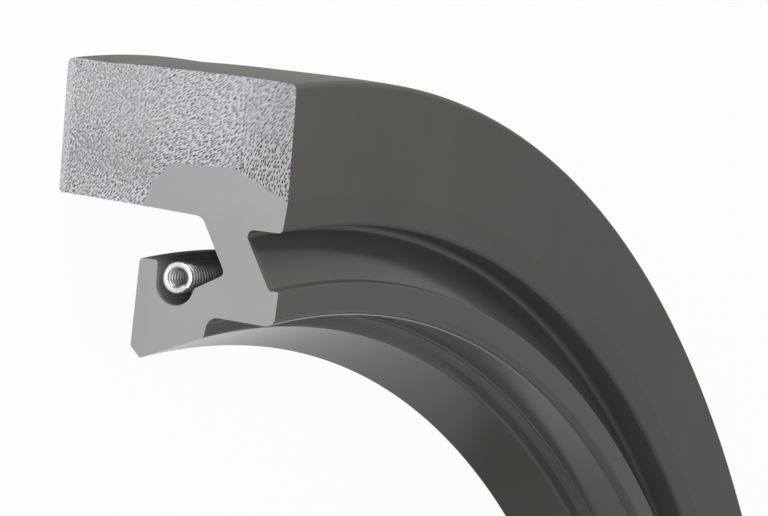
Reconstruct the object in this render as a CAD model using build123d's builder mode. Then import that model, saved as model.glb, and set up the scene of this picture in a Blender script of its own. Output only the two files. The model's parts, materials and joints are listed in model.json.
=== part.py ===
from build123d import *
import math
import os

# Large radial shaft seal for heavy machines, shown as a cutaway ring. A thick
# back of rubberised fabric presses into the housing, an elastomer lip is
# vulcanised into it, and a garter spring lies in the groove over the lip.
# Millimetres. The seal lies on its oil side, the axis is +Z and the air side
# looks up. Depths are measured down from the air side's face.

# Driving sizes
shaft_diameter = 300.0
section_height = 20.0
seal_width = 18.0
lip_interference = 1.1

# The sector that is cut out, as azimuths in degrees
gap_start = 15.0
gap_angle = 60.0

# Back: a low crown presses against the housing, with a waist near the oil side
crown_drop = 0.14
land_start_depth = 5.0
land_length = 5.0
waist_height = 3.4
waist_drop = 0.13
heel_drop = 0.02
back_thickness = 9.85
outer_corner_radius = 0.5

# Dome of elastomer that is vulcanised into the back: heights are measured out
# from the back's underside
foot_drop = 0.2
foot_depth = 12.1
toe_drop = 0.1
toe_depth = 11.05
toe_radius = 0.5
flank_height = 1.4
flank_depth = 10.85
flank_radius = 1.2
shoulder_height = 3.1
shoulder_depth = 9.3
shoulder_radius = 0.8
crest_height = 3.3
crest_depth = 4.4
crest_radius = 2.5
dome_face_height = 1.3

# Air-side nose and the undercut behind it
nose_drop = 0.95
nose_setback = 0.25
nose_radius = 0.35
undercut_depth = 3.25
undercut_radius = 0.5

# Flex neck, from the back down to the lip head
neck_root_drop = 0.45
neck_root_depth = 6.55
neck_root_radius = 0.9
neck_foot_drop = 0.4
neck_foot_depth = 4.45
neck_foot_radius = 0.4

# Lip head: heights are measured out from the lip's edge
head_height = 7.25
head_oil_depth = 11.2
head_corner_radius = 0.25
stub_top_height = 6.1
stub_underside_height = 3.52
stub_underside_rise = 0.16
stub_face_depth = 0.2
stub_face_fall = 0.15
stub_shoulder_width = 0.75
stub_corner_radius = 0.75
stub_fillet_radius = 0.9
cone_start_height = 2.1
cone_start_depth = 5.75
cone_start_rise = 0.25
edge_depth = 10.65
edge_chamfer = 0.8

# Garter spring and its groove
coil_diameter = 2.36
wire_diameter = 0.47
spring_clearance = 0.3
spring_end_lift = 0.56
groove_centre_height = 5.6
groove_centre_depth = 8.3
groove_exit_angle = 25.0
ramp_start_height = 5.55
ramp_start_depth = 6.75

housing_radius = shaft_diameter / 2 + section_height
edge_radius = shaft_diameter / 2 - lip_interference
underside_radius = housing_radius - back_thickness
groove_radius = coil_diameter / 2 + spring_clearance
groove_centre_radius = edge_radius + groove_centre_height
head_radius = edge_radius + head_height


def radial_plane(azimuth):
    """The plane of a section at an azimuth: x is the radius, y the height."""
    outward = Vector(1, 0, 0).rotate(Axis.Z, azimuth)
    return Plane(origin=(0, 0, 0), x_dir=outward, z_dir=outward.cross(Vector(0, 0, 1)))


# The section is drawn on the plane of the second cut face. Revolving it leaves
# the gap between the two cut faces.
section_plane = radial_plane(gap_start + gap_angle)
ring_angle = 360.0 - gap_angle


def at(radius, depth):
    """A point of the section, by its radius and its depth below the air side."""
    return (radius, seal_width - depth)


foot = at(underside_radius - foot_drop, foot_depth)
dome_end = at(underside_radius + dome_face_height, 0)


def dome_line():
    """The joint between the elastomer and the back, from its foot to the air side."""
    FilletPolyline(
        foot,
        at(underside_radius - toe_drop, toe_depth),
        at(underside_radius + flank_height, flank_depth),
        at(underside_radius + shoulder_height, shoulder_depth),
        at(underside_radius + crest_height, crest_depth),
        dome_end,
        radius=[toe_radius, flank_radius, shoulder_radius, crest_radius],
    )


# Fabric-reinforced back. Its crown is a straight land between two shallow arcs
land_start = at(housing_radius, land_start_depth)
land_end = at(housing_radius, land_start_depth + land_length)
air_corner = at(housing_radius - crown_drop, 0)
waist = (housing_radius - waist_drop, waist_height)
heel_corner = (housing_radius - heel_drop, 0)
with BuildPart() as fabric_back:
    with BuildSketch(section_plane) as back_section:
        with BuildLine():
            dome_line()
            Line(dome_end, air_corner)
            TangentArc(land_start, air_corner, tangent=(0, 1))
            Line(land_start, land_end)
            TangentArc(land_end, waist, tangent=(0, -1))
            Polyline(waist, heel_corner, (underside_radius, 0), foot)
        make_face()
        air_side_corners = back_section.vertices().group_by(Axis.Y)[-1]
        oil_side_corners = back_section.vertices().group_by(Axis.Y)[0]
        outer_corners = [side.sort_by(Axis.X)[-1] for side in (air_side_corners, oil_side_corners)]
        fillet(outer_corners, outer_corner_radius)
    revolve(axis=Axis.Z, revolution_arc=ring_angle)
fabric_back.part.label = "fabric_back"

# Elastomer lip: dome, nose, undercut, flex neck, air-side stub, sealing edge,
# spring groove and the ramp back to the neck
nose_inner_radius = underside_radius - nose_drop
stub_radius = edge_radius + stub_top_height
stub_underside = edge_radius + stub_underside_height
stub_root = stub_underside + stub_underside_rise
groove_wall_depth = groove_centre_depth + groove_radius
groove_entry = at(groove_centre_radius, groove_wall_depth)
groove_bottom = at(groove_centre_radius - groove_radius, groove_centre_depth)
exit_turn = math.radians(groove_exit_angle)
groove_exit = at(
    groove_centre_radius - groove_radius * math.sin(exit_turn),
    groove_centre_depth - groove_radius * math.cos(exit_turn),
)
with BuildPart() as sealing_lip:
    with BuildSketch(section_plane):
        with BuildLine():
            dome_line()
            FilletPolyline(
                dome_end,
                at(nose_inner_radius, nose_setback),
                at(nose_inner_radius, undercut_depth),
                at(stub_radius, stub_face_depth + stub_shoulder_width),
                at(stub_radius, stub_face_depth),
                at(stub_underside, stub_face_depth + stub_face_fall),
                at(stub_root, cone_start_depth - cone_start_rise),
                at(edge_radius + cone_start_height, cone_start_depth),
                at(edge_radius, edge_depth),
                at(edge_radius + edge_chamfer, edge_depth + edge_chamfer),
                at(head_radius, head_oil_depth),
                at(head_radius, groove_wall_depth),
                groove_entry,
                radius=[
                    nose_radius,
                    undercut_radius,
                    neck_foot_radius,
                    0,
                    stub_corner_radius,
                    stub_fillet_radius,
                    0,
                    0,
                    0,
                    head_corner_radius,
                    head_corner_radius,
                ],
            )
            ThreePointArc(groove_entry, groove_bottom, groove_exit)
            FilletPolyline(
                groove_exit,
                at(edge_radius + ramp_start_height, ramp_start_depth),
                at(head_radius - neck_foot_drop, neck_foot_depth),
                at(underside_radius - neck_root_drop, neck_root_depth),
                foot,
                radius=[0, neck_foot_radius, neck_root_radius],
            )
        make_face()
    revolve(axis=Axis.Z, revolution_arc=ring_angle)
sealing_lip.part.label = "sealing_lip"

# Garter spring: a close-wound coil bent into a ring, as a tube of its outer
# and inner size. Its ends spring straight at the cuts, which lifts them out of
# the groove a little
coil_centre = at(groove_centre_radius, groove_centre_depth)
straight_turn = math.acos(groove_centre_radius / (groove_centre_radius + spring_end_lift))
straight_length = groove_centre_radius * math.tan(straight_turn)
straight_angle = math.degrees(straight_turn)


def coil_section():
    """The tube's section, outer circle less inner circle."""
    with Locations(coil_centre):
        Circle(coil_diameter / 2)
        Circle(coil_diameter / 2 - wire_diameter, mode=Mode.SUBTRACT)


bend_start = radial_plane(gap_start + gap_angle + straight_angle)
bend_end = radial_plane(gap_start - straight_angle)
with BuildPart() as garter_spring:
    with BuildSketch(bend_start):
        coil_section()
    revolve(axis=Axis.Z, revolution_arc=ring_angle - 2 * straight_angle)
    with BuildSketch(bend_start):
        coil_section()
    extrude(amount=straight_length)
    with BuildSketch(bend_end):
        coil_section()
    extrude(amount=-straight_length)
garter_spring.part.label = "garter_spring"

os.makedirs("parts", exist_ok=True)
export_step(fabric_back.part, "parts/fabric_back.step")
export_step(sealing_lip.part, "parts/sealing_lip.step")
export_step(garter_spring.part, "parts/garter_spring.step")
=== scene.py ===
# %% [markdown]
# # A large shaft seal, cut open
# The seal is a ring of three materials: a thick back of rubberised fabric, a
# rubber lip that is vulcanised into it, and a garter spring in a groove over the
# lip. A sector is cut out of the ring, and the picture looks at one cut face
# from close by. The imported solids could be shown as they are. They are drawn
# again instead, at the same sizes but finer, because facets that are fine for
# the whole ring show as corners from so near.

# %% Load the frame
import bpy
import json
import math
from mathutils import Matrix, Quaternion, Vector


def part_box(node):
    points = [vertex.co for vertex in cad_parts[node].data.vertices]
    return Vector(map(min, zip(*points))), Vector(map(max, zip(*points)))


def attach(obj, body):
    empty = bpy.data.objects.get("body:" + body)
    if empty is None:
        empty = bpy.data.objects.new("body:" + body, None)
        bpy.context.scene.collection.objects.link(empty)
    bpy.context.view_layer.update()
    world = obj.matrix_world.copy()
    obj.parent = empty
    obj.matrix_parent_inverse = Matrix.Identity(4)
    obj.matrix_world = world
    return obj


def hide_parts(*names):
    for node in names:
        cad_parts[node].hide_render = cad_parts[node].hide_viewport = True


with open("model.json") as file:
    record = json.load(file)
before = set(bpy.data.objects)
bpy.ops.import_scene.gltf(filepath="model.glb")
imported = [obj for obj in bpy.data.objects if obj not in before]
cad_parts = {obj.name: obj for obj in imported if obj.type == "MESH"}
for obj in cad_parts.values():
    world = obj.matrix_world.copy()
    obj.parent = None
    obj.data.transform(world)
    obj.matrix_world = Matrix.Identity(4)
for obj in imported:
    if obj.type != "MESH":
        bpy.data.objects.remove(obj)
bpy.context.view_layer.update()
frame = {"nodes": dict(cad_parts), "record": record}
print("solids:", sorted(frame["nodes"]))

# %% [markdown]
# ## Sizes
# A seal is made to fit a shaft and a housing. The sizes that everything hangs on
# are read from the frame: the radii of shaft and housing, the width of the seal
# and the coil of the spring. The frame doesn't hold the section's other sizes, so
# each is written where its form is drawn. Radii are measured from the axis,
# heights outwards from a named radius, drops inwards, and depths down from the
# air side. Levels, and the height of the waist, are measured up from the oil
# side. All are millimetres, and one factor turns them into Blender's metres. The
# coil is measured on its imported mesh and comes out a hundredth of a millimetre
# small, because no corner of its facets lies at the very top or bottom.

# %% Read the main sizes
mm = 0.001
mounts = {mount["name"]: mount["dims"] for mount in frame["record"]["mounts"]}
housing_radius = mounts["housing_fit"]["r_mm"]
land_length = mounts["housing_fit"]["length_mm"]
shaft_radius = mounts["shaft_running"]["r_mm"]
back_low, back_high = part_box("fabric_back")
coil_low, coil_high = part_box("garter_spring")
seal_width = round((back_high.z - back_low.z) / mm, 3)
coil_diameter = round((coil_high.z - coil_low.z) / mm, 2)
coil_level = (coil_high.z + coil_low.z) / 2 / mm
print("shaft radius", shaft_radius, "housing radius", housing_radius)
print("seal width", seal_width, "coil diameter", coil_diameter)

# %% [markdown]
# ## The cut
# A seal is a closed ring, and the picture shows one that is cut open. A whole
# ring could be turned and then cut by a boolean, which leaves thin triangles at
# the cut. Here the ring is simply turned from one cut face to the other. The cut
# takes out 60 degrees. Angles are azimuths, from +X towards +Y, and the ring runs
# from the second cut face round to the first. Its steps are a third as long in
# the stretch behind the first cut face, which the picture shows from close by.

# %% Place the cut faces and the steps round the ring
gap_start, gap_angle = 15, 60
first_cut = math.radians(gap_start)
second_cut = math.radians(gap_start + gap_angle)
ring_angle = 2 * math.pi - (second_cut - first_cut)
near_angle = math.radians(60)
far_angle = ring_angle - near_angle
far_steps, near_steps = 192, 144
near_start = second_cut + far_angle
azimuths = [second_cut + far_angle * step / far_steps for step in range(far_steps)]
azimuths += [near_start + near_angle * step / near_steps for step in range(near_steps + 1)]
ring_steps = len(azimuths) - 1
print("the ring turns through", round(math.degrees(ring_angle)), "degrees in", ring_steps, "steps")

# %% [markdown]
# ## Drawing a section
# Back and lip have the same section all round, so one outline in a half plane
# says all of their shape: how far from the axis, and how high. The outline could
# be a curve object, but points worked out in Python keep every size exact. A
# helper walks along the corners and puts an arc of the given radius in each, as a
# draughtsman would.

# %% Round the corners of a line
arc_step = math.radians(8)
fewest_arc_steps = 3


def arc(before, corner, after, radius):
    """The points of the arc that rounds a corner, from one side to the other."""
    to_before = (before - corner).normalized()
    to_after = (after - corner).normalized()
    half = to_before.angle(to_after) / 2
    centre = corner + (to_before + to_after).normalized() * radius / math.sin(half)
    start = corner + to_before * radius / math.tan(half) - centre
    end = corner + to_after * radius / math.tan(half) - centre
    turn = start.angle_signed(end)
    steps = max(fewest_arc_steps, math.ceil(abs(turn) / arc_step))
    points = []
    for step in range(steps + 1):
        share = turn * step / steps
        spoke = Vector((
            start.x * math.cos(share) + start.y * math.sin(share),
            start.y * math.cos(share) - start.x * math.sin(share),
        ))
        points.append(centre + spoke)
    return points


def rounded(corners):
    """The line through (point, radius) corners. A radius of 0 leaves a corner crisp."""
    points = [Vector(point) for point, radius in corners]
    line = []
    for index, (point, radius) in enumerate(corners):
        if radius:
            line += arc(*points[index - 1:index + 2], radius)
        else:
            line.append(points[index])
    return line


square_corner = rounded([((1, 0), 0), ((0, 0), 0.5), ((0, 1), 0)])
print("a square corner is rounded with", len(square_corner) - 2, "points")

# %% [markdown]
# Rubber has no facets, so the faces are shaded softly. Soft shading turns the
# light evenly from one vertex to the next, which would bend it over the whole of
# a long flat side. Weighted normals could cure that with a modifier. Two more
# points, one close to each end of the side, do it in the outline itself and stay
# with the mesh.

# %% Hold the long straight sides flat
hold_gap = 0.06
long_side = 6 * hold_gap


def held(line):
    """The same line with a point close to both ends of each long straight side."""
    points = [line[0]]
    for start, end in zip(line, line[1:]):
        length = (end - start).length
        if length > long_side:
            points.append(start.lerp(end, hold_gap / length))
            points.append(end.lerp(start, hold_gap / length))
        points.append(end)
    return points


print("a square corner and its two sides are held with", len(held(square_corner)), "points")

# %% [markdown]
# ## Turning a section into a ring
# The outline is copied at every step round the axis and joined by quads. Blender's
# Screw modifier does the same, but in even steps only. The two cut faces are
# closed by one face each, with a material slot of their own, because a cut shows
# the inside of the rubber and not its moulded skin. Corners sharper than the
# limit stay crisp.

# %% Turn an outline about the axis
crisp_corner = math.radians(24)


def new_piece(name, places, faces, materials):
    """A mesh object in the scene, from its points in metres, its faces and its materials."""
    mesh = bpy.data.meshes.new(name)
    mesh.from_pydata(places, [], faces)
    for material in materials:
        mesh.materials.append(material)
    piece = bpy.data.objects.new(name, mesh)
    bpy.context.scene.collection.objects.link(piece)
    print(name, "has", len(faces), "faces")
    return piece


def turned(name, outline, skin, section):
    """A ring from the second cut round to the first, with its two cut faces."""
    count = len(outline)
    places = []
    for azimuth in azimuths:
        x, y = math.cos(azimuth), math.sin(azimuth)
        places += [(point.x * mm * x, point.x * mm * y, point.y * mm) for point in outline]
    faces = []
    for step in range(ring_steps):
        for index in range(count):
            following = (index + 1) % count
            a, b = step * count + index, step * count + following
            faces.append((a, b, b + count, a + count))
    faces.append(tuple(range(count - 1, -1, -1)))
    faces.append(tuple(ring_steps * count + index for index in range(count)))
    piece = new_piece(name, places, faces, [skin, section])
    piece.data.shade_smooth()
    for cut_face in piece.data.polygons[-2:]:
        cut_face.material_index = 1
        cut_face.use_smooth = False
    piece.data.set_sharp_from_angle(angle=crisp_corner)
    return piece


print("corners sharper than", round(math.degrees(crisp_corner)), "degrees stay crisp")

# %% [markdown]
# ## Writing a material as sums
# Fabric and rubber get their looks from maths on the place of the shaded point.
# That maths could be a page of boxes and wires. It is easier to read as sums, so
# this small class wraps one output socket, and each operator adds the Math node
# that does it.

# %% Wrap sockets
class Value:
    """An output socket that can be added, multiplied and so on."""

    def __init__(self, nodes, socket):
        self.nodes = nodes
        self.socket = socket

    def math(self, operation, first, second):
        """The Math node that does an operation on two values or numbers."""
        return self.nodes.add("ShaderNodeMath", {"operation": operation}, {0: first, 1: second})

    def __add__(self, other):
        return self.math("ADD", self, other)

    def __radd__(self, other):
        return self.math("ADD", other, self)

    def __sub__(self, other):
        return self.math("SUBTRACT", self, other)

    def __rsub__(self, other):
        return self.math("SUBTRACT", other, self)

    def __mul__(self, other):
        return self.math("MULTIPLY", self, other)

    def __rmul__(self, other):
        return self.math("MULTIPLY", other, self)

    def __truediv__(self, other):
        return self.math("DIVIDE", self, other)

    def __pow__(self, other):
        return self.math("POWER", self, other)

    def larger(self, other):
        """The larger of two values."""
        return self.math("MAXIMUM", self, other)

    def __getitem__(self, output):
        """Another output of the same node, by its name or number."""
        return Value(self.nodes, self.socket.node.outputs[output])


# %% [markdown]
# A second class holds the nodes of one material, or of the world. Every node comes
# from its one method `add`. The others are steps that come back from material to
# material: mixing two colours, a soft step, noise, the place in the section, and
# the surface at the end.

# %% Add nodes
class Nodes:
    """The nodes of one material or world, and the one method that adds to them."""

    def __init__(self, owner):
        owner.use_nodes = True
        self.owner = owner
        self.tree = owner.node_tree
        self.tree.nodes.clear()

    def add(self, kind, settings=None, inputs=None):
        """Adds a node: its settings first, then the values or links of its sockets."""
        node = self.tree.nodes.new(kind)
        for setting, value in (settings or {}).items():
            setattr(node, setting, value)
        for socket, value in (inputs or {}).items():
            if isinstance(value, Value):
                self.tree.links.new(value.socket, node.inputs[socket])
            else:
                node.inputs[socket].default_value = value
        return Value(self, node.outputs[0]) if node.outputs else None

    def mix(self, factor, first, second):
        """Two colours, mixed by a factor. A Mix node keeps them in inputs 6 and 7."""
        colours = {0: factor, 6: first, 7: second}
        return self.add("ShaderNodeMix", {"data_type": "RGBA"}, colours)[2]

    def ramp(self, value, start, end):
        """0 before start, 1 past end, and smooth in between. Start may be above end."""
        settings = {"interpolation_type": "SMOOTHSTEP"}
        return self.add("ShaderNodeMapRange", settings, {0: value, 1: start, 2: end})

    def noise(self, place, scale, detail=3.0):
        """Soft noise from 0 to 1, with its scale in cells to the metre."""
        inputs = {"Vector": place, "Scale": scale, "Detail": detail}
        return self.add("ShaderNodeTexNoise", None, inputs)

    def place(self):
        """The point that is shaded, in metres from the ring's centre."""
        return self.add("ShaderNodeTexCoord")["Object"]

    def in_section(self, place):
        """A place's radius from the axis and its level over the oil side, in millimetres."""
        split = self.add("ShaderNodeSeparateXYZ", None, {0: place})
        radius = (split["X"] * split["X"] + split["Y"] * split["Y"]) ** 0.5 / mm
        return radius, split["Z"] / mm

    def finish(self, bump, bump_height, sockets):
        """The surface itself: a shader with the given sockets, and a fine bump."""
        inputs = {"Height": bump, "Distance": bump_height, "Strength": 1.0}
        normal = self.add("ShaderNodeBump", None, inputs)
        shader = self.add("ShaderNodeBsdfPrincipled", None, {**sockets, "Normal": normal})
        self.add("ShaderNodeOutputMaterial", None, {"Surface": shader})
        print(self.owner.name, "is made of", len(self.tree.nodes), "nodes")
        return self.owner


def new_material(name):
    """The nodes of a new material, none so far."""
    return Nodes(bpy.data.materials.new(name))


# %% [markdown]
# Nearly all colours of a seal are greys, and rubber's are a little warm. They
# could be typed in as three numbers each, but one level and a warmth say what is
# meant.

# %% Mix a grey
def grey(level, warm=0.0):
    """An opaque colour near grey; warm moves it towards yellow."""
    return (level, level * (1 - warm * 0.3), level * (1 - warm), 1.0)


print("a plain grey is", grey(0.5), "and a warm one", grey(0.5, 0.1))

# %% [markdown]
# ## Moulded rubber skin
# Such a ring comes out of one mould, so back and lip have one dark, almost even
# skin. The picture's highlights are broad on the air face and have sharper edges
# inside the nose, so the skin is taken as polished there, and as satin on the
# faces and in the spring's groove. Deep in the groove the picture is a little
# paler. That is painted into the skin as a paler colour: painted light, which
# stands in for the fill light that the shaded groove doesn't get. That is drawn
# as a trace of talc, which is a guess. The zones could be separate materials, but
# their borders are soft, so one material tells them apart by radius and level.

# %% Set the zones of the skin
nose_border = (158.6, 159.4)
groove_border = (152.7, 153.1)
groove_top = (12.4, 13.0)
# Where the painted light deep in the groove lies, and how far it reaches: a paler skin that stands
# in for fill light in the shade there.
painted_light_radius, painted_light_level = 154.5, 9.7
painted_light_reach = (1.6, 2.4)
polished_roughness = 0.12
satin_roughness = 0.42
print("polished skin has a roughness of", polished_roughness, "and satin of", satin_roughness)

# %% [markdown]
# What keeps the skin from looking like paint is small: a cloudy bloom in the
# colour, patches that are a little duller, and a fine grain that softens the
# highlights. All are soft noise. The first two share one, some ten millimetres
# across, because bloom both pales and dulls the rubber.

# %% Make the moulded skin
bloom_scale = 90.0
bloom_range = (0.35, 0.7)
bloom_dulling = 0.06
clean_rubber, bloomed_rubber = grey(0.100, 0.1), grey(0.110, 0.1)
# The paler skin colour of the painted light deep in the groove.
painted_groove_light = grey(0.22, 0.06)
grain_scale, grain_height = 2500.0, 0.004


def moulded_rubber(name):
    """Dark rubber with a faint bloom and painted light deep in the groove, polished near the lip
    and satin outside it.
    """
    nodes = new_material(name)
    place = nodes.place()
    bloom = nodes.noise(place, bloom_scale)
    grain = nodes.noise(place, grain_scale, detail=2.0)
    radius, level = nodes.in_section(place)
    aside, above = radius - painted_light_radius, level - painted_light_level
    # Painted light: the skin is made paler round a point deep in the shaded groove.
    painted_light_here = 1 - nodes.ramp((aside * aside + above * above) ** 0.5, *painted_light_reach)
    rubber = nodes.mix(nodes.ramp(bloom, *bloom_range), clean_rubber, bloomed_rubber)
    in_groove = nodes.ramp(radius, *groove_border) * (1 - nodes.ramp(level, *groove_top))
    satin = nodes.ramp(radius, *nose_border).larger(in_groove)
    roughness = polished_roughness + (satin_roughness - polished_roughness) * satin
    return nodes.finish(grain, grain_height * mm, {
        "Base Color": nodes.mix(painted_light_here, rubber, painted_groove_light),
        "Roughness": roughness + bloom_dulling * bloom,
        "Specular IOR Level": 0.03,
    })


back_skin = moulded_rubber("moulded fabric back")
lip_skin = moulded_rubber("moulded lip rubber")

# %% [markdown]
# ## Cut rubber
# Where the rubber is cut, the fresh section is matt and much paler than the skin.
# The lip is one even compound, so a drawn pattern would be wrong: its section has
# only a faint cloud and the finest pits.

# %% Make the cut rubber of the lip
cloud_scale, cloud_range = 160.0, (0.3, 0.7)
pit_scale, pit_height = 6000.0, 0.006
nodes = new_material("cut lip rubber")
place = nodes.place()
cloud = nodes.ramp(nodes.noise(place, cloud_scale), *cloud_range)
pits = nodes.noise(place, pit_scale, detail=2.0)
cut_lip = nodes.finish(pits, pit_height * mm, {
    "Base Color": nodes.mix(cloud, grey(0.325), grey(0.345)),
    "Roughness": 0.75,
    "Specular IOR Level": 0.25,
})

# %% [markdown]
# ## Cut fabric
# The back is built up from many plies of rubberised fabric. The cut goes through
# every yarn, and the dark flecks in the pale rubber are taken as the ends. There
# are far too many to model, so they are drawn in the material. Their rows bend
# round the dome of the lip, so the drawing starts from where a point lies beside
# that dome: its rise, outwards from a point under the dome, and its way from
# there towards the air side.

# %% Find the place beside the dome
under_dome_radius, under_dome_depth = 156.5, 7.0
nodes = new_material("cut fabric")
place = nodes.place()
radius, level = nodes.in_section(place)
depth = seal_width - level
rise = radius - under_dome_radius
airward = under_dome_depth - depth
print("rise starts at radius", under_dome_radius, "and airward at depth", under_dome_depth)

# %% [markdown]
# A row of flecks is a line along which one number stays the same, so a formula
# for that number lays out all rows at once. In the middle of the back the rows
# climb towards the air side, and steepen as they near it. By the air side they
# run outwards, all bowed alike. By the oil side they are straight and lean by 53
# degrees.

# %% Lay the rows of yarn
climb, climb_bend, bend_offset = 0.62, 0.0073, 1.0
bow_middle, bow_bend = 4.5, 0.065
lean = math.radians(53)
bend = airward + bend_offset
climbing_row = rise - climb * airward - climb_bend * bend * bend * bend
bow = rise - bow_middle
bowed_row = airward - bow_bend * bow * bow
leaning_run = airward * math.cos(lean) + rise * math.sin(lean)
leaning_row = rise * math.cos(lean) - airward * math.sin(lean)
print("nodes so far:", len(nodes.tree.nodes))

# %% [markdown]
# A Voronoi texture scatters one point in each cell of a grid. With the grid laid
# along the rows, each point is the middle of a fleck. It is subtracted from the
# place that is shaded, and that offset is measured longer across a row than along
# it, which draws a dash. Each fleck has its own strength, by chance. Pitch and
# gap are how far the flecks stand apart along a row and from row to row, and
# length and thick are the size of one, all in millimetres.

# %% Draw the climbing yarns
scatter = 0.72
dash_edge = (0.8, 1.1)
weakest_dash, dash_chance = 0.6, 0.75


def dashes(along, across, pitch, gap, length, thick, seed):
    """Dark dashes, one in each cell of pitch by gap. The mask is 0 beside them."""
    nodes = along.nodes
    grid = {0: along / pitch + seed, 1: across / gap + seed}
    spot = nodes.add("ShaderNodeCombineXYZ", None, grid)
    cells = nodes.add(
        "ShaderNodeTexVoronoi", {"voronoi_dimensions": "2D"},
        {"Vector": spot, "Scale": 1.0, "Randomness": scatter},
    )
    offset = nodes.add(
        "ShaderNodeVectorMath", {"operation": "SUBTRACT"}, {0: spot, 1: cells["Position"]},
    )
    parts = nodes.add("ShaderNodeSeparateXYZ", None, {0: offset})
    run = parts["X"] * (pitch / length * 2)
    side = parts["Y"] * (gap / thick * 2)
    reach = (run * run + side * side) ** 0.5
    chance = nodes.add("ShaderNodeSeparateXYZ", None, {0: cells["Color"]})
    return (1 - nodes.ramp(reach, *dash_edge)) * (weakest_dash + dash_chance * chance["X"])


climbing = dashes(airward, climbing_row, pitch=0.30, gap=0.19, length=0.25, thick=0.09, seed=0.0)
print("nodes so far:", len(nodes.tree.nodes))

# %% [markdown]
# In the picture some flecks of a row join up. A noise that is stretched along the
# rows gives such streaks. It counts only where it is low, so that they stay thin.

# %% Join some of them by streaks
climbing_streaks = 0.25


def streaks(along, across, length, thick, low, high, seed):
    """Dark streaks where stretched noise is low, as a mask from 0 to 1."""
    nodes = along.nodes
    grid = {0: along / length + seed, 1: across / thick + seed}
    spot = nodes.add("ShaderNodeCombineXYZ", None, grid)
    return 1 - nodes.ramp(nodes.noise(spot, 1.0, detail=1.0), low, high)


joined = streaks(airward, climbing_row, length=0.26, thick=0.09, low=0.30, high=0.50, seed=5.3)
climbing = climbing + climbing_streaks * joined
print("nodes so far:", len(nodes.tree.nodes))

# %% [markdown]
# By the air side the streaks are long and thin. Low down there, beside the dome,
# the bowed rows give way to flecks that lie across them.

# %% Draw the bowed yarns
bowed_weight, bowed_loss, bowed_streaks = 1.1, 0.85, 1.2
crossing_weight, crossing_range = 0.62, (6.5, 3.0)
crossing_here = nodes.ramp(rise, *crossing_range)
bowed = dashes(rise, bowed_row, pitch=0.33, gap=0.22, length=0.25, thick=0.092, seed=8.1)
bowed = bowed * (bowed_weight - bowed_loss * crossing_here)
joined = streaks(rise, bowed_row, length=1.6, thick=0.10, low=0.28, high=0.34, seed=1.9)
bowed = bowed + bowed_streaks * joined
crossing = dashes(airward, rise, pitch=0.25, gap=0.22, length=0.18, thick=0.09, seed=4.4)
bowed = bowed + crossing_weight * crossing * crossing_here
print("nodes so far:", len(nodes.tree.nodes))

# %% [markdown]
# By the oil side the yarns are fine, and coarser low down, beside the dome. Both
# kinds lean alike, so they share their rows, and one mask changes from the fine
# to the coarse.

# %% Draw the leaning yarns
fine_weight, fine_streaks = 0.9, 0.4
coarse_weight, coarse_range = 0.85, (8.0, 3.5)
coarse_here = nodes.ramp(rise, *coarse_range)
fine = dashes(leaning_run, leaning_row, pitch=0.25, gap=0.135, length=0.22, thick=0.063, seed=9.1)
joined = streaks(leaning_run, leaning_row, length=0.24, thick=0.085, low=0.3, high=0.55, seed=2.7)
fine = fine_weight * fine + fine_streaks * joined
coarse = dashes(leaning_run, leaning_row, pitch=0.32, gap=0.18, length=0.27, thick=0.08, seed=6.3)
leaning = fine + (coarse_weight * coarse - fine) * coarse_here
print("nodes so far:", len(nodes.tree.nodes))

# %% [markdown]
# Each way of lying has its own part of the cut. A straight border between them
# would look painted, and the picture shows none. So noise is added to the soft
# masks before they are made sharp.

# %% Divide the cut among the rows
air_side_tilt, air_side_range = 0.25, (-0.5, 3.2)
oil_side_tilt, oil_side_range = 0.2, (-6.0, 0.5)
border_scale, oil_side_raggedness = 900.0, 2.0
bowed_border, leaning_border = (0.42, 0.58), (0.3, 0.7)
by_air_side = nodes.ramp(airward - air_side_tilt * rise, *air_side_range)
by_oil_side = 1 - nodes.ramp(airward + oil_side_tilt * rise, *oil_side_range)
ragged = nodes.noise(place, border_scale, detail=2.0) - 0.5
bowed_here = nodes.ramp(by_air_side + ragged, *bowed_border)
leaning_here = nodes.ramp(by_oil_side + oil_side_raggedness * ragged, *leaning_border)
middle = climbing * (1 - bowed_here) * (1 - leaning_here)
flecks = middle + bowed * bowed_here + leaning * leaning_here
print("nodes so far:", len(nodes.tree.nodes))

# %% [markdown]
# In the picture the flecks aren't equally strong everywhere. They are strongest
# beside the dome, uneven from patch to patch, and weaker right at the oil face.
# Three factors do that for all flecks at once.

# %% Vary the flecks
patch_scale, patch_base, patch_gain = 420.0, 0.85, 0.3
outer_base, dome_gain, dome_range = 0.77, 0.48, (5.5, 10.0)
oil_face_loss, oil_face_levels = 0.5, (0.8, 0.3)
patchy = nodes.noise(place, patch_scale, detail=2.0)
by_dome = 1 - nodes.ramp(rise, *dome_range)
by_oil_face = nodes.ramp(level, *oil_face_levels)
flecks = flecks * (patch_base + patch_gain * patchy) * (outer_base + dome_gain * by_dome)
flecks = flecks * (1 - oil_face_loss * by_oil_face)
print("nodes so far:", len(nodes.tree.nodes))

# %% [markdown]
# Between the flecks the cut is pale, with a speckle that is too fine for single
# fibres to show. The speckle is mild in the middle, darker by the air side, and
# strongest by the oil side, so a very fine noise mixes two greys for each. Only
# the flecks go into the bump, because speckle that stood out would drown them.

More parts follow.
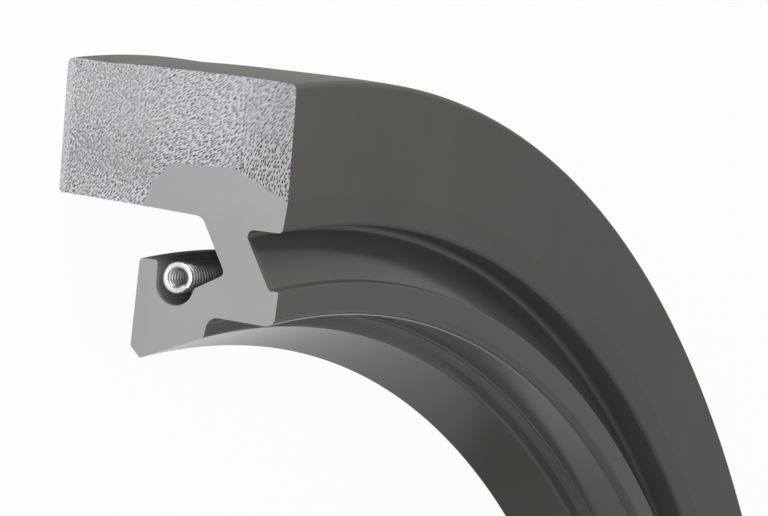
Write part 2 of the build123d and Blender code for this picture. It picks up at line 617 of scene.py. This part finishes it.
# %% Make the cut fabric
speckle_scale = 14000.0
coarse_calm = 0.5
yarn_colour, yarn_pit = (0.03, 0.03, 0.033, 1), 0.01
speckle = nodes.noise(place, speckle_scale, detail=0.0)
mild = nodes.mix(speckle, (0.41, 0.415, 0.43, 1), (0.63, 0.635, 0.655, 1))
darker = nodes.mix(speckle, (0.29, 0.295, 0.305, 1), (0.48, 0.485, 0.50, 1))
grainy = nodes.mix(speckle, (0.22, 0.225, 0.235, 1), (0.86, 0.865, 0.89, 1))
mild_or_darker = nodes.mix(by_air_side, mild, darker)
pale = nodes.mix(by_oil_side * (1 - coarse_calm * coarse_here), mild_or_darker, grainy)
cut_fabric = nodes.finish(1 - flecks, yarn_pit * mm, {
    "Base Color": nodes.mix(flecks, pale, yarn_colour),
    "Roughness": 0.8,
    "Specular IOR Level": 0.25,
})

# %% [markdown]
# ## Spring steel
# Drawn wire is bright, with fine lines from the die. Lines could be drawn along
# the wire, but the turns are so thin that a little grain in colour and roughness
# is all that shows.

# %% Make the spring steel
drawing_scale, drawing_height = 5000.0, 0.001
smooth_roughness, drawing_dulling = 0.34, 0.1
nodes = new_material("drawn spring wire")
drawn = nodes.noise(nodes.place(), drawing_scale, detail=2.0)
wire_steel = nodes.finish(drawn, drawing_height * mm, {
    "Base Color": nodes.mix(drawn, (0.68, 0.68, 0.68, 1), (0.76, 0.76, 0.75, 1)),
    "Roughness": smooth_roughness + drawing_dulling * drawn,
    "Metallic": 1.0,
})

# %% [markdown]
# ## The joint between back and lip
# The lip's rubber is vulcanised straight onto the fabric, and swells into it as a
# dome, which makes the bonded face larger. Both pieces could be given a copy of
# that line, but then a change to one would open a crack. It is drawn once here,
# and both outlines start with it.

# %% Draw the joint
back_thickness = 9.85
underside_radius = housing_radius - back_thickness
foot_drop, foot_depth = 0.2, 12.1
toe_drop, toe_depth, toe_radius = 0.1, 11.05, 0.5
flank_height, flank_depth, flank_radius = 1.4, 10.85, 1.2
shoulder_height, shoulder_depth, shoulder_radius = 3.1, 9.3, 0.8
crest_height, crest_depth, crest_radius = 3.3, 4.4, 2.5
dome_face_height = 1.3


def at(radius, depth):
    """A point of the section, by radius and depth below the air side."""
    return (radius, seal_width - depth)


foot = at(underside_radius - foot_drop, foot_depth)
dome_end = at(underside_radius + dome_face_height, 0)
dome_line = rounded([
    (foot, 0),
    (at(underside_radius - toe_drop, toe_depth), toe_radius),
    (at(underside_radius + flank_height, flank_depth), flank_radius),
    (at(underside_radius + shoulder_height, shoulder_depth), shoulder_radius),
    (at(underside_radius + crest_height, crest_depth), crest_radius),
    (dome_end, 0),
])
print("the joint is drawn with", len(dome_line), "points")

# %% [markdown]
# ## The fabric back
# The back presses into the housing. It touches there with a straight land, and
# curves away from it on both sides by little more than a tenth of a millimetre.
# So shallow a curve could be left out, but the light on the outside follows it.
# It is drawn as a parabola in a few steps, because an arc of such a large radius
# looks the same and is harder to write.

# %% Draw the outside of the back
crown_drop, waist_drop = 0.14, 0.13
land_start_depth = 5.0
land_end_depth = land_start_depth + land_length
waist_height = 3.4
waist_length = seal_width - waist_height - land_end_depth
crown_steps = 4
shares = [step / crown_steps for step in range(crown_steps + 1)]
crown = [
    at(housing_radius - crown_drop * (1 - share) ** 2, land_start_depth * share)
    for share in shares
]
waist = [
    at(housing_radius - waist_drop * share ** 2, land_end_depth + waist_length * share)
    for share in shares
]
print("the land is", land_length, "mm long and starts at a depth of", land_start_depth)

# %% [markdown]
# The rest of the back is plain: a rounded corner at the air side, another at the
# heel, where the ring stands on its oil side, and the underside. The heel's inner
# corner, which the solids leave crisp, gets a fine round. With the joint it all
# closes the outline.

# %% Turn the back
heel_drop = 0.02
outer_corner_radius = 0.5
heel_inner_radius = 0.25
outside = rounded([
    (dome_end, 0),
    (crown[0], outer_corner_radius),
    *[(point, 0) for point in crown[1:] + waist],
    ((housing_radius - heel_drop, 0), outer_corner_radius),
    ((underside_radius, 0), heel_inner_radius),
    (foot, 0),
])
back_outline = held(dome_line + outside[1:])[:-1]
back = turned("fabric_back_skin", back_outline, back_skin, cut_fabric)
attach(back, "root")
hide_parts("fabric_back")

# %% [markdown]
# ## The sealing lip
# The lip hangs from the dome on a neck that lets it follow a shaft that runs out
# of true. Its head has the sealing edge on the shaft's side, the spring groove
# over it, and a stub towards the air side. It could be modelled by sculpting, but
# it works by its exact section, so that is drawn corner by corner. First comes
# the groove: a round channel a little wider than the coil, open on its outer
# side, where the spring is put in.

# %% Draw the spring groove
lip_interference = 1.1
edge_radius = shaft_radius - lip_interference
spring_clearance = 0.3
groove_radius = coil_diameter / 2 + spring_clearance
groove_centre_height, groove_exit_angle = 5.6, 25
groove_centre_radius = edge_radius + groove_centre_height
groove_centre_depth = seal_width - coil_level
groove_wall_depth = groove_centre_depth + groove_radius
groove_turn = math.pi - math.radians(groove_exit_angle)
groove_steps = 24


def on_groove(turn):
    """The groove's point after a turn from its oil side, round by the shaft's side."""
    return at(
        groove_centre_radius - groove_radius * math.sin(turn),
        groove_centre_depth + groove_radius * math.cos(turn),
    )


groove_entry, groove_exit = on_groove(0), on_groove(groove_turn)
groove = [Vector(on_groove(groove_turn * step / groove_steps)) for step in range(1, groove_steps)]
print("the groove is", round(2 * groove_radius, 2), "mm across")
print("its centre is at a radius of", round(groove_centre_radius, 2), "mm")

# %% [markdown]
# The shaft's side of the lip runs from the air face over the nose, the undercut
# and the stub to the sealing edge, and round the head to the groove. Each corner
# stands with the radius of its round. Four that the solids leave crisp get a fine
# one here, because a moulded corner is never quite crisp, and its round catches
# the light.

# %% Draw the shaft's side of the lip
nose_drop, nose_setback, nose_radius = 0.95, 0.25, 0.35
undercut_depth, undercut_radius = 3.25, 0.5
neck_foot_radius = 0.4
head_height, head_oil_depth, head_corner_radius = 7.25, 11.2, 0.25
stub_top_height, stub_underside_height, stub_underside_rise = 6.1, 3.52, 0.16
stub_face_depth, stub_face_fall, stub_shoulder_width = 0.2, 0.15, 0.75
stub_corner_radius, stub_fillet_radius = 0.75, 0.9
cone_start_height, cone_start_depth, cone_start_rise = 2.1, 5.75, 0.25
edge_depth, edge_chamfer = 10.65, 0.8
stub_top_round, cone_round, edge_round, chamfer_round = 0.12, 0.35, 0.05, 0.15
nose_inner_radius = underside_radius - nose_drop
stub_radius = edge_radius + stub_top_height
stub_underside = edge_radius + stub_underside_height
stub_root = stub_underside + stub_underside_rise
head_radius = edge_radius + head_height
shaft_side = rounded([
    (dome_end, 0),
    (at(nose_inner_radius, nose_setback), nose_radius),
    (at(nose_inner_radius, undercut_depth), undercut_radius),
    (at(stub_radius, stub_face_depth + stub_shoulder_width), neck_foot_radius),
    (at(stub_radius, stub_face_depth), stub_top_round),
    (at(stub_underside, stub_face_depth + stub_face_fall), stub_corner_radius),
    (at(stub_root, cone_start_depth - cone_start_rise), stub_fillet_radius),
    (at(edge_radius + cone_start_height, cone_start_depth), cone_round),
    (at(edge_radius, edge_depth), edge_round),
    (at(edge_radius + edge_chamfer, edge_depth + edge_chamfer), chamfer_round),
    (at(head_radius, head_oil_depth), head_corner_radius),
    (at(head_radius, groove_wall_depth), head_corner_radius),
    (groove_entry, 0),
])
print("the sealing edge is at a radius of", round(edge_radius, 2))

# %% [markdown]
# The oil side is short: the ramp out of the groove, and the neck back to the
# joint's foot. With the joint, the shaft's side and the groove it closes the
# outline of the lip.

# %% Turn the lip
ramp_start_height, ramp_start_depth = 5.55, 6.75
neck_foot_drop, neck_foot_depth = 0.4, 4.45
neck_root_drop, neck_root_depth, neck_root_radius = 0.45, 6.55, 0.9
oil_side = rounded([
    (groove_exit, 0),
    (at(edge_radius + ramp_start_height, ramp_start_depth), 0),
    (at(head_radius - neck_foot_drop, neck_foot_depth), neck_foot_radius),
    (at(underside_radius - neck_root_drop, neck_root_depth), neck_root_radius),
    (foot, 0),
])
lip_outline = held(dome_line + shaft_side[1:] + groove + oil_side)[:-1]
lip = turned("sealing_lip_skin", lip_outline, lip_skin, cut_lip)
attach(lip, "root")
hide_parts("sealing_lip")

# %% [markdown]
# ## The garter spring
# A garter spring is a close-wound coil of thin wire, bent into a ring, which
# presses the lip onto the shaft. At the cut the picture shows it a little out of
# its groove, and here that is taken as its cut ends springing straight. A curve
# object could carry the coil, but the middle line is only a long bend between two
# short straights, so a helper works out any point of it, by the run from the
# first cut.

# %% Lay out the spring's middle line
spring_end_lift = 0.56
straight_turn = math.acos(groove_centre_radius / (groove_centre_radius + spring_end_lift))
straight_length = groove_centre_radius * math.tan(straight_turn)
bend_turn = ring_angle - 2 * straight_turn
line_length = groove_centre_radius * bend_turn + 2 * straight_length


def coil_line(run):
    """The middle line's point at a run from the first cut, and the way outward there."""
    bent_run = run - straight_length
    turn = min(max(bent_run / groove_centre_radius, 0), bend_turn)
    azimuth = first_cut - straight_turn - turn
    outward = Vector((math.cos(azimuth), math.sin(azimuth), 0))
    onward = Vector((outward.y, -outward.x, 0))
    straight_run = bent_run - groove_centre_radius * turn
    level = Vector((0, 0, seal_width - groove_centre_depth))
    return outward * groove_centre_radius + onward * straight_run + level, outward


print("the spring is", round(line_length, 1), "mm long")
print("each of its straight ends is", round(straight_length, 1), "mm long")

# %% [markdown]
# The wire winds round that line in a helix of some 1,700 turns, each almost
# touching the next. A tube with a striped material would be lighter, but the
# picture shows single turns at the cut. Every turn is real here. The 110 by the
# first cut face, where the camera looks, are drawn round, and the others have
# fewer sides.

# %% Wind the wire
wire_diameter = 0.47
pitch = 1.01 * wire_diameter
coil_radius = (coil_diameter - wire_diameter) / 2
end_inset = wire_diameter / 2
turns = int((line_length - 2 * end_inset) / pitch)
first_turn = math.radians(-35)


def wire_places(start, count, segments, sides):
    """The points of a wire's surface, ring after ring, from a turn of the helix on."""
    places = []
    up = Vector((0, 0, 1))
    for step in range(count + 1):
        turn = start + step / segments
        middle, outward = coil_line(end_inset + turn * pitch)
        angle = first_turn - turn * 2 * math.pi
        spoke = outward * math.sin(angle) + up * math.cos(angle)
        ahead = up.cross(outward)
        centre = middle + spoke * coil_radius
        for side in range(sides):
            round_wire = 2 * math.pi * side / sides
            reach = spoke * math.cos(round_wire) + ahead * math.sin(round_wire)
            places.append((centre + reach * wire_diameter / 2) * mm)
    return places


print("the spring has", turns, "turns, with a pitch of", round(pitch, 3), "mm")

# %% [markdown]
# The rings of points are joined by quads, and one flat face closes each end, as
# where wire is cut square. A limit that is larger than a corner between two
# sides keeps the wire smooth. The spring is made in two pieces, so that neither
# becomes too heavy to handle.

# %% Wind the spring
near_turns = 110
crisp_wire_end = math.radians(80)


def wound(name, start, stop, segments, sides):
    """A closed tube of wire from one turn of the helix to another."""
    count = round((stop - start) * segments)
    faces = []
    for step in range(count):
        for side in range(sides):
            a, b = step * sides + side, step * sides + (side + 1) % sides
            faces.append((a, a + sides, b + sides, b))
    faces.append(tuple(range(sides)))
    faces.append(tuple(count * sides + side for side in range(sides - 1, -1, -1)))
    piece = new_piece(name, wire_places(start, count, segments, sides), faces, [wire_steel])
    piece.data.shade_smooth()
    piece.data.set_sharp_from_angle(angle=crisp_wire_end)
    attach(piece, "root")
    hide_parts("garter_spring")


wound("garter_coil_near", 0, near_turns, segments=32, sides=10)
wound("garter_coil_far", near_turns, turns, segments=10, sides=5)

# %% [markdown]
# ## Floor and background
# The seal lies on a white sheet, as in a product picture. A brighter lamp could
# bleach the sheet, but it would bleach the seal as well. So what the camera and
# the reflections see of the sheet is mostly plain white, mixed with a little of
# the lit sheet, and the seal still has its soft shadow.

# %% Lay the floor
sheet_colour, sheet_whiteness = grey(0.8), 0.96
floor_size = 4.0
floor_drop = 0.02 * mm


def looked_at(nodes):
    """1 where the camera looks, straight, mirrored or through glass, and 0 for plain light."""
    path = nodes.add("ShaderNodeLightPath")
    seen = path["Is Camera Ray"].larger(path["Is Glossy Ray"])
    return seen.larger(path["Is Transmission Ray"])


nodes = new_material("white sheet")
lit = nodes.add("ShaderNodeBsdfDiffuse", None, {"Color": sheet_colour})
white = nodes.add("ShaderNodeEmission", None, {"Color": grey(1.0), "Strength": 1.0})
seen = looked_at(nodes) * sheet_whiteness
sheet = nodes.add("ShaderNodeMixShader", None, {0: seen, 1: lit, 2: white})
nodes.add("ShaderNodeOutputMaterial", None, {"Surface": sheet})
sides = ((-1, -1), (1, -1), (1, 1), (-1, 1))
corners = [(x * floor_size, y * floor_size, -floor_drop) for x, y in sides]
floor = new_piece("floor", corners, [(0, 1, 2, 3)], [nodes.owner])

# %% [markdown]
# ## Light
# A product picture is lit from all round by pale walls, so a pale world lights
# the seal here. One lamp alone would be simpler, but would leave what is turned
# away from it black. Camera and reflections see that world as plain white.

# %% Light the world
ambient = 0.35
world = bpy.data.worlds.new("pale studio")
bpy.context.scene.world = world
sky = Nodes(world)
strength = looked_at(sky) * (1 - ambient) + ambient
light = sky.add("ShaderNodeBackground", None, {"Color": grey(1.0), "Strength": strength})
sky.add("ShaderNodeOutputWorld", None, {"Surface": light})
print("the world lights the seal at", ambient, "of the white that the camera sees")

# %% [markdown]
# Two soft lamps give the surfaces a direction: a key in front of the cut, which
# also reaches into the spring's groove, and a lamp over the outside of the ring,
# whose light fades along it. Spot or point lamps would leave shadows with hard
# edges, so both are wide area lamps.

# %% Set the soft lamps
def soft_lamp(name, place, aim, size, power):
    """A square soft lamp at a place in millimetres, turned to what it lights."""
    lamp = bpy.data.lights.new(name, "AREA")
    lamp.size = size * mm
    lamp.energy = power
    holder = bpy.data.objects.new(name, lamp)
    holder.location = Vector(place) * mm
    holder.rotation_euler = (Vector(aim) - Vector(place)).to_track_quat("-Z", "Y").to_euler()
    holder.visible_camera = False
    bpy.context.scene.collection.objects.link(holder)
    print("the", name, "lamp stands", round((Vector(aim) - Vector(place)).length), "mm away")


soft_lamp("key", place=(104, 330, 132), aim=(155, 30, 10), size=80, power=0.54)
soft_lamp("top", place=(300, 130, 80), aim=(160, 20, 10), size=90, power=0.18)

# %% [markdown]
# ## Camera
# The picture looks almost straight at the cut, from beyond the gap and from above
# the ring. The camera is rolled on its side, so that the radius at the cut points
# up in the picture and the seal's axis runs to the right. It could be aimed by a
# tracking constraint, but a fixed place, aim and roll are simpler to read.

# %% Place the camera
camera_place = Vector((118.86, 321.51, 136.98))
camera_aim = Vector((155.39, 21.78, 18.0))
camera_roll = math.radians(97.55)
sensor_width, lens = 36.0, 202.7
nearest_view = 10
camera_data = bpy.data.cameras.new("camera")
camera_data.sensor_width = sensor_width
camera_data.lens = lens
camera_data.clip_start = nearest_view * mm
camera = bpy.data.objects.new("camera", camera_data)
camera.location = camera_place * mm
camera.rotation_mode = "QUATERNION"
unrolled = (camera_aim - camera_place).to_track_quat("-Z", "Y")
camera.rotation_quaternion = unrolled @ Quaternion((0, 0, 1), camera_roll)
bpy.context.scene.collection.objects.link(camera)
bpy.context.scene.camera = camera
bpy.context.scene.view_settings.view_transform = "Standard"
print("the camera stands", round((camera_aim - camera_place).length), "mm from what it looks at")
